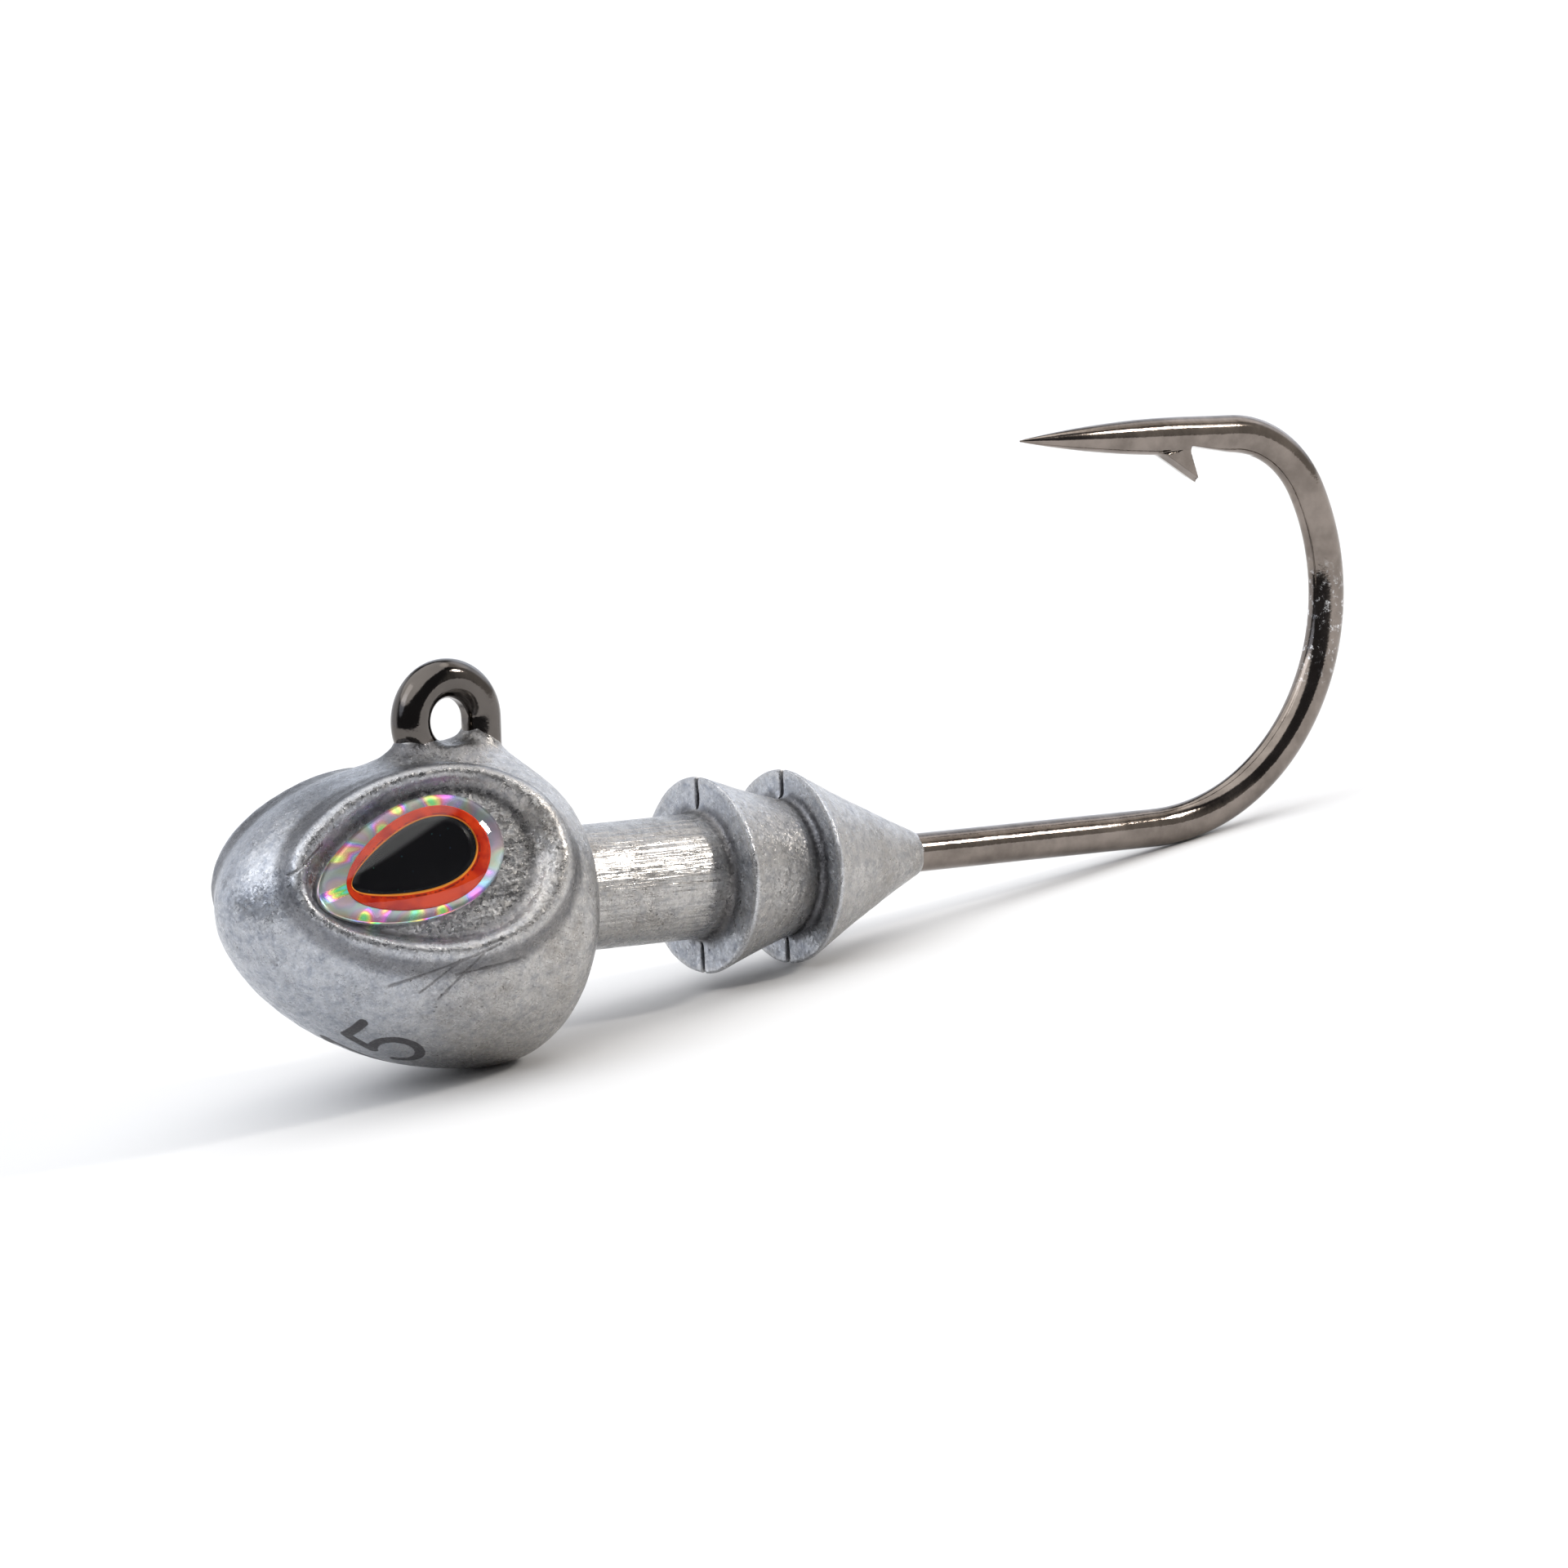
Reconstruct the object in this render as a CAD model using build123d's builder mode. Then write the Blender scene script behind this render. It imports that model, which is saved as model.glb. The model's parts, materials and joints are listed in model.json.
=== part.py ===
"""A lead jig head for soft baits: a bent wire hook cast into an egg-shaped head with two glued eyes.

Millimetres and degrees. The origin is the centre of the line eye, +Z is up and +Y is the jig's right.
The jig is drawn as it rests on a table, on its belly and on the heel of its bend, so its shank runs down
towards the bend. Everything is drawn in the hook's own plane: u runs along the shank from the nose to the
bend and is 0 below the line eye, and v runs up from the shank's axis to the point.
"""

import os
from collections import namedtuple
from math import cos, pi, radians, sin

from build123d import *

# ---- driving dimensions ------------------------------------------------------------------------------
rest_pitch = 9.45  # how far the shank runs down towards the bend

wire_radius = 0.75
eye_height = 6.8  # the shank's axis to the centre of the line eye
eye_ring_radius = 1.57  # the middle of the wire
eye_ring_arc = 270.0
eye_hole_radius = 0.85
leg_bend_radius = 1.6  # where the wire turns up to the line eye, inside the head

bend_start = 32.9
bend_radius, bend_angle = 8.95, 115.6
throat_radius, throat_angle = 4.15, 62.4
point_arm = 10.35  # the end of the bend to the tip
point_taper = 8.3  # how much of it is ground to a point
ogive_left, ogive_radius = 3.32, 0.48  # the taper's bulge: the length still to go, and the radius there
tip_radius, tip_angle = 0.03, 12.0
barb_root_front, barb_tip, barb_root_back = (3.85, 0.70), (1.80, 1.85), (2.30, 0.40)
barb_root_middle = (3.20, 0.0)  # buried in the wire
barb_thickness, barb_taper = 0.9, 12.0
scoop_start = (-1.0, 0.90)  # the chisel cut that raises the barb begins here, on the bend
scoop_top = 1.3  # outside the wire
flat_half_width = 0.62  # the bend is forged flat on both sides
flat_fades_from, flat_full_from = 29.5, 34.0
flat_cut_end, flat_cut_edge, flat_cut_reach = 45.0, 2.0, 20.0  # the cut runs past the wire on every side
flat_fade_gap = 0.02  # outside the wire where the cut begins

head_u, head_v = -0.72, -0.30  # the widest place of the egg, on its own axis
head_tilt = 7.0  # the egg's nose is turned up from the shank by this much
head_radius = 5.85
head_nose, head_back = 9.37, 4.87  # the widest place to each end
nose_power, back_power = 1.78, 3.64  # 2 is an ellipse, and more is boxier

collar_foot, collar_top = (6.4, 3.6), (4.3, 1.9)  # the lead drawn up round the legs of the line eye
collar_foot_height, collar_top_height = 4.55, 5.92
gate_reach = 20.0  # the cut that leaves the flat under the belly is wider than the head

neck_radius = 2.4
barb_rim_radius = 3.78
barb_faces = (11.24, 15.18)  # the two collars that hold the bait, by the u of their flat faces
waist_radius = 2.55  # where the first collar runs down to the second one's face
cone_tip_u, cone_tip_radius = 21.2, 0.85
rim_rounding = 0.15
radius_match = 0.01  # how near an edge's radius is to the one asked for

# The eye pocket: its floor is turned towards the nose and up, and its middle lies off the head's plane.
pocket_yaw, pocket_pitch = 17.0, 20.0
pocket_middle = (-3.92, 1.87, 3.78)  # u, v, and the distance from the head's plane
rim_foot_height, rim_side_height, rim_crest_height = -1.0, 0.1, 0.70  # above the pocket's floor
pocket_mouth = 2.0  # the pocket's cut runs on this far past the crest

# Egg outlines on the pocket's floor: centre, length, width, how much fatter the tail end is, and the turn.
Egg = namedtuple("Egg", "x y length width lean turn")
rim_foot = Egg(0.50, -0.04, 11.6, 8.2, 0.12, 4.5)
rim_side = Egg(0.45, -0.02, 11.1, 7.6, 0.12, 4.5)
rim_crest = Egg(0.40, 0.05, 10.4, 6.9, 0.13, 4.1)
rim_inner = Egg(0.30, 0.02, 9.7, 6.3, 0.20, 7.0)
pocket_floor = Egg(0.13, -0.05, 8.9, 5.7, 0.26, 9.7)
eye_edge = Egg(-0.43, 0.03, 7.5, 4.3, 0.22, 17.5)
iris_edge = Egg(-0.17, 0.06, 5.7, 3.3, 0.26, 18.5)
pupil_edge = Egg(-0.33, 0.12, 5.0, 2.24, 0.40, 18.9)
adhesive_thickness = 0.10
foil_thickness = 0.08
ink_thickness = 0.03
dome_edge_height = 0.25
dome_crown = 0.80  # above its edge
dome_steps = (1.0, 0.93, 0.78, 0.55, 0.25)  # the share of the eye's outline at each section of the dome
outline_points = 24

# ---- planes --------------------------------------------------------------------------------------------
along = Vector(cos(radians(rest_pitch)), 0, -sin(radians(rest_pitch)))
upward = Vector(sin(radians(rest_pitch)), 0, cos(radians(rest_pitch)))
side = Plane(origin=upward * -eye_height, x_dir=along, z_dir=(0, -1, 0))
shank_axis = Axis(side.origin, along)
bend_centre = side.from_local_coords((bend_start, bend_radius, 0))
table = Plane(origin=(0, 0, bend_centre.Z - bend_radius - wire_radius))  # touches the heel of the bend

egg_along = along * cos(radians(head_tilt)) - upward * sin(radians(head_tilt))
egg_side = Plane(origin=side.from_local_coords((head_u, head_v, 0)), x_dir=egg_along, z_dir=side.z_dir)

yaw, pitch = radians(pocket_yaw), radians(pocket_pitch)
left = Vector(0, -1, 0)
pocket_along = along * cos(yaw) + left * sin(yaw)
pocket_out = (left * cos(yaw) - along * sin(yaw)) * cos(pitch) + upward * sin(pitch)
pocket = Plane(origin=side.from_local_coords(pocket_middle), x_dir=pocket_along, z_dir=pocket_out)


def across(v):
    """The plane square to the hook's plane, v above the shank: its x is u and its y is the jig's right."""
    return Plane(origin=side.from_local_coords((0, v, 0)), x_dir=along, z_dir=upward)


def egg_face(egg, height, scale=1.0):
    """The face inside an egg outline, height above the pocket's floor, scaled about its own centre."""
    turns = [2 * pi * i / outline_points for i in range(outline_points)]
    points = [
        (
            scale * egg.length / 2 * cos(t),
            scale * egg.width / 2 * sin(t) * (1 + egg.lean * cos(t)),
        )
        for t in turns
    ]
    place = pocket.location * Location((egg.x, egg.y, height), (0, 0, egg.turn))
    with BuildSketch(Plane(place)) as face:
        with BuildLine():
            Spline(*points, periodic=True)
        make_face()
    return face.sketch


def half_oval(length, power, steps=12):
    """Points from the end of the egg to its widest place, along a curve that a power makes boxier."""
    angles = [pi / 2 * i / steps for i in range(steps + 1)]
    return [
        (length * cos(a) ** (2 / power), head_radius * sin(a) ** (2 / power)) for a in angles[:-1]
    ] + [(0, head_radius)]


os.makedirs("parts", exist_ok=True)

# ---- the hook ------------------------------------------------------------------------------------------
with BuildPart() as hook:
    with BuildLine(side) as run:
        CenterArc((0, eye_height), eye_ring_radius, 0, eye_ring_arc)
        leg = Line((eye_ring_radius, eye_height), (eye_ring_radius, leg_bend_radius))
        turn = JernArc(start=leg @ 1, tangent=leg % 1, radius=leg_bend_radius, arc_size=90)
        shank = Line(turn @ 1, side.from_local_coords((bend_start, 0, 0)))
        bend = JernArc(start=shank @ 1, tangent=shank % 1, radius=bend_radius, arc_size=bend_angle)
        throat = JernArc(start=bend @ 1, tangent=bend % 1, radius=throat_radius, arc_size=throat_angle)
    with BuildSketch(Plane(origin=throat @ 1, z_dir=throat % 1)):
        Circle(wire_radius)
    sweep(path=run.wires()[0])

    # The point is ground round, and its arm is drawn in a plane whose y runs towards the shank.
    arm = Plane(origin=throat @ 1, x_dir=throat % 1, z_dir=side.z_dir)
    with BuildSketch(arm):
        with BuildLine():
            Polyline((0, wire_radius), (0, 0), (point_arm, 0), (point_arm, tip_radius))
            Line((0, wire_radius), (point_arm - point_taper, wire_radius))
            Spline(
                (point_arm - point_taper, wire_radius),
                (point_arm - ogive_left, ogive_radius),
                (point_arm, tip_radius),
                tangents=[(1, 0), (cos(radians(tip_angle)), -sin(radians(tip_angle)))],
            )
        make_face()
    revolve(axis=Axis(arm.origin, arm.x_dir))

    with BuildSketch(arm):
        with BuildLine():
            Polyline(
                scoop_start,
                barb_root_back,
                (barb_root_back[0], scoop_top),
                (scoop_start[0], scoop_top),
                close=True,
            )
        make_face()
    extrude(amount=2 * wire_radius, both=True, mode=Mode.SUBTRACT)
    with BuildSketch(arm):
        with BuildLine():
            Polyline(barb_root_front, barb_tip, barb_root_back, barb_root_middle, close=True)
        make_face()
    extrude(amount=barb_thickness / 2, both=True, taper=barb_taper)

    with BuildSketch(across(0)):
        with BuildLine():
            Spline(
                (flat_fades_from, wire_radius + flat_fade_gap),
                (flat_full_from, flat_half_width),
                tangents=[(1, 0), (1, 0)],
            )
            Polyline(
                (flat_full_from, flat_half_width),
                (flat_cut_end, flat_half_width),
                (flat_cut_end, flat_cut_edge),
                (flat_fades_from, flat_cut_edge),
                (flat_fades_from, wire_radius + flat_fade_gap),
            )
        make_face()
        mirror(about=Plane.XZ)
    extrude(amount=flat_cut_reach, both=True, mode=Mode.SUBTRACT)

    # The rubbed inside of the line eye, where the line bears.
    with BuildSketch(Plane.XZ):
        Circle(eye_hole_radius)
    extrude(amount=wire_radius, both=True, mode=Mode.SUBTRACT)
hook.part.label = "hook"
export_step(hook.part, "parts/hook.step")

# ---- the lead casting: head, collar round the line eye, and the bait keeper ----------------------------
with BuildPart() as head_casting:
    with BuildSketch(egg_side):
        with BuildLine():
            nose = Spline(*[(-x, y) for x, y in half_oval(head_nose, nose_power)], tangents=[(0, 1), (1, 0)])
            back = Spline(*half_oval(head_back, back_power), tangents=[(0, 1), (-1, 0)])
            Line(nose @ 0, back @ 0)
        make_face()
    revolve(axis=Axis(egg_side.origin, egg_along))

    with BuildSketch(side):
        with BuildLine():
            Polyline(
                (0, 0),
                (0, neck_radius),
                (barb_faces[0], neck_radius),
                (barb_faces[0], barb_rim_radius),
                (barb_faces[1], waist_radius),
                (barb_faces[1], barb_rim_radius),
                (cone_tip_u, cone_tip_radius),
                (cone_tip_u, 0),
                close=True,
            )
        make_face()
    revolve(axis=shank_axis)
    circles = edges().filter_by(GeomType.CIRCLE)
    fillet([e for e in circles if abs(e.radius - barb_rim_radius) < radius_match], rim_rounding)

    with BuildSketch(across(collar_foot_height)):
        Ellipse(collar_foot[0] / 2, collar_foot[1] / 2)
    with BuildSketch(across(collar_top_height)):
        Ellipse(collar_top[0] / 2, collar_top[1] / 2)
    loft()

    # The eye pockets and the raised rims round them.
    rim = loft(
        [
            egg_face(rim_foot, rim_foot_height),
            egg_face(rim_side, rim_side_height),
            egg_face(rim_crest, rim_crest_height),
        ]
    )
    mirror(rim, about=Plane.XZ)
    mouth = egg_face(rim_inner, rim_crest_height)
    hollow = loft([egg_face(pocket_floor, 0), mouth], mode=Mode.PRIVATE)
    hollow += extrude(mouth, amount=pocket_mouth, dir=pocket_out, mode=Mode.PRIVATE)
    add(hollow, mode=Mode.SUBTRACT)
    mirror(hollow, about=Plane.XZ, mode=Mode.SUBTRACT)

    # The casting gate is cut off flush with the table, so the belly stands on a small flat.
    with BuildSketch(table):
        Rectangle(gate_reach, gate_reach)
    extrude(amount=-gate_reach, mode=Mode.SUBTRACT)
    add(hook.part, mode=Mode.SUBTRACT)
head_casting.part.label = "head_casting"
export_step(head_casting.part, "parts/head_casting.step")


# ---- the eyes: each is a printed foil disc under a clear cast dome, glued into its pocket --------------
def layer(egg, low, high):
    """A flat layer of an eye, between two heights above the pocket's floor."""
    return extrude(egg_face(egg, low), amount=high - low, dir=pocket_out, mode=Mode.PRIVATE)


foil_low = adhesive_thickness
ink_low = foil_low + foil_thickness
dome_low = ink_low + ink_thickness
dome_edge = dome_low + dome_edge_height
pupil_ink = layer(pupil_edge, ink_low, dome_low)
iris_ink = layer(iris_edge, ink_low, dome_low) - pupil_ink
dome_faces = [egg_face(eye_edge, ink_low)]
for share in dome_steps:
    dome_faces.append(egg_face(eye_edge, dome_edge + dome_crown * (1 - share**2) ** 0.5, share))
clear_dome = loft(dome_faces, mode=Mode.PRIVATE) - iris_ink - pupil_ink
eye_layers = {
    "adhesive": layer(eye_edge, 0, foil_low),
    "foil": layer(eye_edge, foil_low, ink_low),
    "iris": iris_ink,
    "pupil": pupil_ink,
    "dome": clear_dome,
}
for name, solid in eye_layers.items():
    for hand in ("left", "right"):
        with BuildPart() as piece:
            if hand == "left":
                add(solid)
            else:
                mirror(solid, about=Plane.XZ)
        piece.part.label = f"eye_{name}_{hand}"
        export_step(piece.part, f"parts/eye_{name}_{hand}.step")
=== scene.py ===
"""Looks for the jig head: the lead and the wire are carved from distance fields, the eyes built in layers.

Lengths here are millimetres in the hook's own frame: u runs along the shank from below the line eye, v is
the height above the shank's axis, and w is the jig's right. The record's mounts say where that frame lies.
A mesh is turned into metres of the shared frame when it is made.
"""

import json
from math import atan2, cos, pi, radians, sin, sqrt, tan

import bpy
import numpy as np
from mathutils import Matrix, Vector


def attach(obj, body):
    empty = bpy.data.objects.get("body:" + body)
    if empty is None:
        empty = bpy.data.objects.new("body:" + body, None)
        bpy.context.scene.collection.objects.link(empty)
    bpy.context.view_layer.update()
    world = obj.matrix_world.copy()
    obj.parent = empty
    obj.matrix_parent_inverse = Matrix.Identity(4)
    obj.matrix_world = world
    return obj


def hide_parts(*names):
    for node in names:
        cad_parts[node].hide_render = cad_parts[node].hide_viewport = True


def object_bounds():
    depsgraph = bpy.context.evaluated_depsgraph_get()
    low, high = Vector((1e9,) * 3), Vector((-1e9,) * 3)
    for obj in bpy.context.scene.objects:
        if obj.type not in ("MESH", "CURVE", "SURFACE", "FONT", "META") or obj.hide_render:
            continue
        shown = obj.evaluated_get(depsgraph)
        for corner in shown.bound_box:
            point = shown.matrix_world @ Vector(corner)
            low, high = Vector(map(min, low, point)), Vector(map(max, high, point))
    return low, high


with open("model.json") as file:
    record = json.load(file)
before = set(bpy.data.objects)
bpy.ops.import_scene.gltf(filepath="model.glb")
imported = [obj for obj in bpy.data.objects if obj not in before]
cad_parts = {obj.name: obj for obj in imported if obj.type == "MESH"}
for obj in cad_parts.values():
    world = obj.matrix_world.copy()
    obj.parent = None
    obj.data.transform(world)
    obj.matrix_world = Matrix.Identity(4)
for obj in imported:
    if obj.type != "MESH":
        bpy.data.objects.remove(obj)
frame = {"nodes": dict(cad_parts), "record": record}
cad_low, cad_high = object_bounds()

# ---- the hook's frame, from the record -----------------------------------------------------------
MM = 0.001
mounts = {m["name"]: m for m in frame["record"]["mounts"]}
line_eye = np.array(mounts["line_eye"]["pos_m"])
RIGHT = np.array([0.0, 1.0, 0.0])
ALONG = np.array(mounts["bait_keeper"]["axis"])
ALONG /= np.linalg.norm(ALONG)
UP = np.cross(ALONG, RIGHT)
eye_height = float((line_eye - np.array(mounts["bait_keeper"]["pos_m"])) @ UP) / MM
table_height = cad_low.z
brush_pitch = atan2(-ALONG[2], ALONG[0])  # how far the shank points down

# ---- dimensions, the same as the CAD model's -----------------------------------------------------
wire_radius = 0.75
ring_radius, ring_hole = 1.57, 0.85
leg_bend = 1.6
bend_start, bend_radius, bend_turn = 32.9, 8.95, radians(115.6)
throat_radius, throat_turn = 4.15, radians(62.4)
arm_length, arm_taper, tip_radius = 10.35, 8.3, 0.03
barb_points = ((3.85, 0.62), (1.80, 1.85), (2.30, 0.40))
barb_half, barb_slope = 0.45, tan(radians(12))
scoop_from, scoop_to, scoop_reach = (-1.0, 0.90), (2.30, 0.40), 3.0
flat_half, flat_from, flat_full = 0.62, 29.5, 34.0

head_u, head_v, head_tilt = -0.72, -0.30, radians(7.0)
head_radius, head_nose, head_back = 5.85, 9.37, 4.87
nose_power, back_power = 1.78, 3.64
collar_foot, collar_top = (4.55, 3.2, 1.8), (5.92, 2.15, 0.95)  # height, half length, half width
collar_sunk = 2.0  # the height of the collar's underside, inside the head
neck_radius, neck_middle, neck_half = 2.38, 6.0, 5.6
lip_height, lip_middle, lip_half = 0.24, 3.0, 1.22
rim_radius, waist_radius = 3.78, 2.55
barb_faces = (11.24, 15.18)
first_overlap = 0.5  # how far the first barbed collar runs on inside the second
cone_end, cone_end_radius = 21.2, 0.85
slot_half, slot_deep, slot_floor = 0.11, 0.22, 0.12
creep_height, creep_more = 6.3, 0.45  # lead on the line eye's legs, and how much more on the back leg
brushed_middle, brushed_half = 7.3, 3.0  # the stretch of the neck that was brushed smooth

pocket_yaw, pocket_pitch = radians(17), radians(20)
pocket_u, pocket_v, pocket_out = -3.92, 1.87, 3.78
# Egg outlines by the pocket's floor: height, centre x and y, half length and width, lean, degrees turned.
rim_eggs = (
    (-1.0, 0.50, -0.04, 5.80, 4.10, 0.12, 4.5),
    (0.10, 0.45, -0.02, 5.55, 3.80, 0.12, 4.5),
    (0.70, 0.40, 0.05, 5.20, 3.45, 0.13, 4.1),
)
hollow_eggs = (
    (0.0, 0.13, -0.05, 4.45, 2.85, 0.26, 9.7),
    (0.70, 0.30, 0.02, 4.85, 3.15, 0.20, 7.0),
)
right_brow = 1.16  # the upper side of the right rim and pocket is drawn in by this factor
rim_lift = 0.20  # what the rims' rounding takes off their crests
eye_egg = (-0.43, 0.03, 3.75, 2.15, 0.22, 17.5)
iris_egg = (-0.17, 0.06, 2.85, 1.65, 0.26, 18.5)
pupil_egg = (-0.33, 0.12, 2.50, 1.12, 0.40, 18.9)
foil_low, ink_low, dome_low = 0.10, 0.18, 0.21
dome_edge, dome_crown, dome_foot = 0.25, 0.80, 0.03
dome_sink = 0.02  # the resin is cast round the prints, so the dome reaches a little below them
print_gap = 0.004  # and the prints clear the foil by this much

# How round the lead's edges are, and its inner corners.
sharp_edge, lip_edge, face_edge, collar_edge, rim_edge, pocket_edge = 0.10, 0.12, 0.16, 0.25, 0.80, 0.72
neck_fillet, barb_fillet, keeper_fillet = 0.22, 0.35, 0.40
collar_fillet, creep_fillet, rim_fillet, pocket_fillet = 0.90, 0.38, 0.55, 0.30

# The gap to a flaring outline grows faster than the true distance, by about these factors.
collar_pace, rim_pace, pocket_pace = 0.85, 0.88, 0.90

# Scratches on the head's left side, from and to by u and v.
scratches = (
    ((-1.9, -1.0), (-5.6, -2.4)),
    ((-2.5, -1.25), (-3.8, -3.0)),
    ((-0.95, -1.7), (-3.4, -2.1)),
    ((-3.4, -1.55), (-4.5, -2.7)),
    ((-8.8, 1.9), (-7.4, 2.9)),
)

head_step = 0.06
wire_step = 0.05
block = 16  # a field is worked through in cubes of so many grid points a side
lead_box = ((-11.2, -6.6, -6.8), (21.7, 7.3, 6.8))
wire_box = ((-2.6, -1.1, -1.05), (42.9, 16.6, 1.05))


# ---- shapes as distance fields -------------------------------------------------------------------
def blend_min(a, b, k):
    """The nearer of two surfaces, with a fillet of about k where they meet."""
    h = np.maximum(k - np.abs(a - b), 0) / k
    return np.minimum(a, b) - h * h * k * 0.25


def blend_max(a, b, k):
    """What two solids share, with its edge rounded by about k."""
    return -blend_min(-a, -b, k)


def smooth(x, low, high):
    """Eases from 0 at low to 1 at high. Low may be the larger."""
    t = np.clip((x - low) / (high - low), 0, 1)
    return t * t * (3 - 2 * t)


def ripple(x, y, z, wavelength, seed, waves=7):
    """A gentle uneven surface, from -1 to 1, that repeats nowhere near the part's own size."""
    rng = np.random.default_rng(seed)
    total = np.zeros_like(x)
    for _ in range(waves):
        d = rng.normal(size=3)
        d *= 2 * pi / (wavelength * rng.uniform(0.7, 1.5) * np.linalg.norm(d))
        total += np.sin(d[0] * x + d[1] * y + d[2] * z + rng.uniform(0, 2 * pi))
    return total / sqrt(waves * 2)


def egg_gap(x, y, egg):
    """How far a point of the pocket's floor is outside an egg outline, whose numbers may be arrays."""
    cx, cy, a, b, lean, turn = egg
    turn = np.radians(turn)
    p = (x - cx) * np.cos(turn) + (y - cy) * np.sin(turn)
    q = (y - cy) * np.cos(turn) - (x - cx) * np.sin(turn)
    wide = b * (1 + lean * np.clip(p / a, -1, 1))
    g = np.sqrt((p / a) ** 2 + (q / wide) ** 2) + 1e-6
    return (g - 1) * g / (np.sqrt((p / a**2) ** 2 + (q / wide**2) ** 2) + 1e-6)


def egg_at(height, eggs):
    """The outline of a loft through eggs at that height. It runs on straight above the last one."""
    heights = [e[0] for e in eggs]
    found = []
    for i in range(1, 7):
        sizes = [e[i] for e in eggs]
        last = (sizes[-1] - sizes[-2]) / (heights[-1] - heights[-2])
        found.append(np.interp(height, heights, sizes) + np.maximum(height - heights[-1], 0) * last)
    return found


def pocket_frame(u, v, w):
    """A point in the frame of the pocket on its own side: x and y on the pocket's floor, and the height."""
    du, dv, dl = u - pocket_u, v - pocket_v, np.abs(w) - pocket_out
    sy, cy, sp, cp = sin(pocket_yaw), cos(pocket_yaw), sin(pocket_pitch), cos(pocket_pitch)
    x = du * cy + dl * sy
    y = du * sp * sy + dv * cp - dl * sp * cy
    h = -du * sy * cp + dv * sp + dl * cy * cp
    return x, np.where((w > 0) & (y > 0), y * right_brow, y), h


def from_pocket(x, y, h, hand):
    """The other way round: hand is -1 for the jig's left eye and 1 for its right."""
    sy, cy, sp, cp = sin(pocket_yaw), cos(pocket_yaw), sin(pocket_pitch), cos(pocket_pitch)
    u = pocket_u + x * cy + y * sp * sy - h * sy * cp
    v = pocket_v + y * cp + h * sp
    l = pocket_out + x * sy - y * sp * cy + h * cy * cp
    return np.stack([u, v, hand * l], -1)


def head_frame(u, v, w):
    """A point by the egg's own axis: how far towards the tail, how far up, and how far from the axis."""
    x = (u - head_u) * cos(head_tilt) - (v - head_v) * sin(head_tilt)
    y = (u - head_u) * sin(head_tilt) + (v - head_v) * cos(head_tilt)
    return x, y, np.sqrt(y * y + w * w) + 1e-6


def on_neck(u):
    """1 along the brushed stretch of the neck, and 0 away from it."""
    return smooth(np.abs(u - brushed_middle), brushed_half + 0.5, brushed_half)


def cone_gap(u, r, start, end, hollow):
    """Distance outside a cone's side, which runs between two (u, radius) points and is a little hollow."""
    du, dr = end[0] - start[0], end[1] - start[1]
    length = sqrt(du * du + dr * dr)
    share = np.clip((u - start[0]) / du, 0, 1)
    return ((u - start[0]) * -dr + (r - start[1]) * du) / length + hollow * share * (1 - share) * 4


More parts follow.
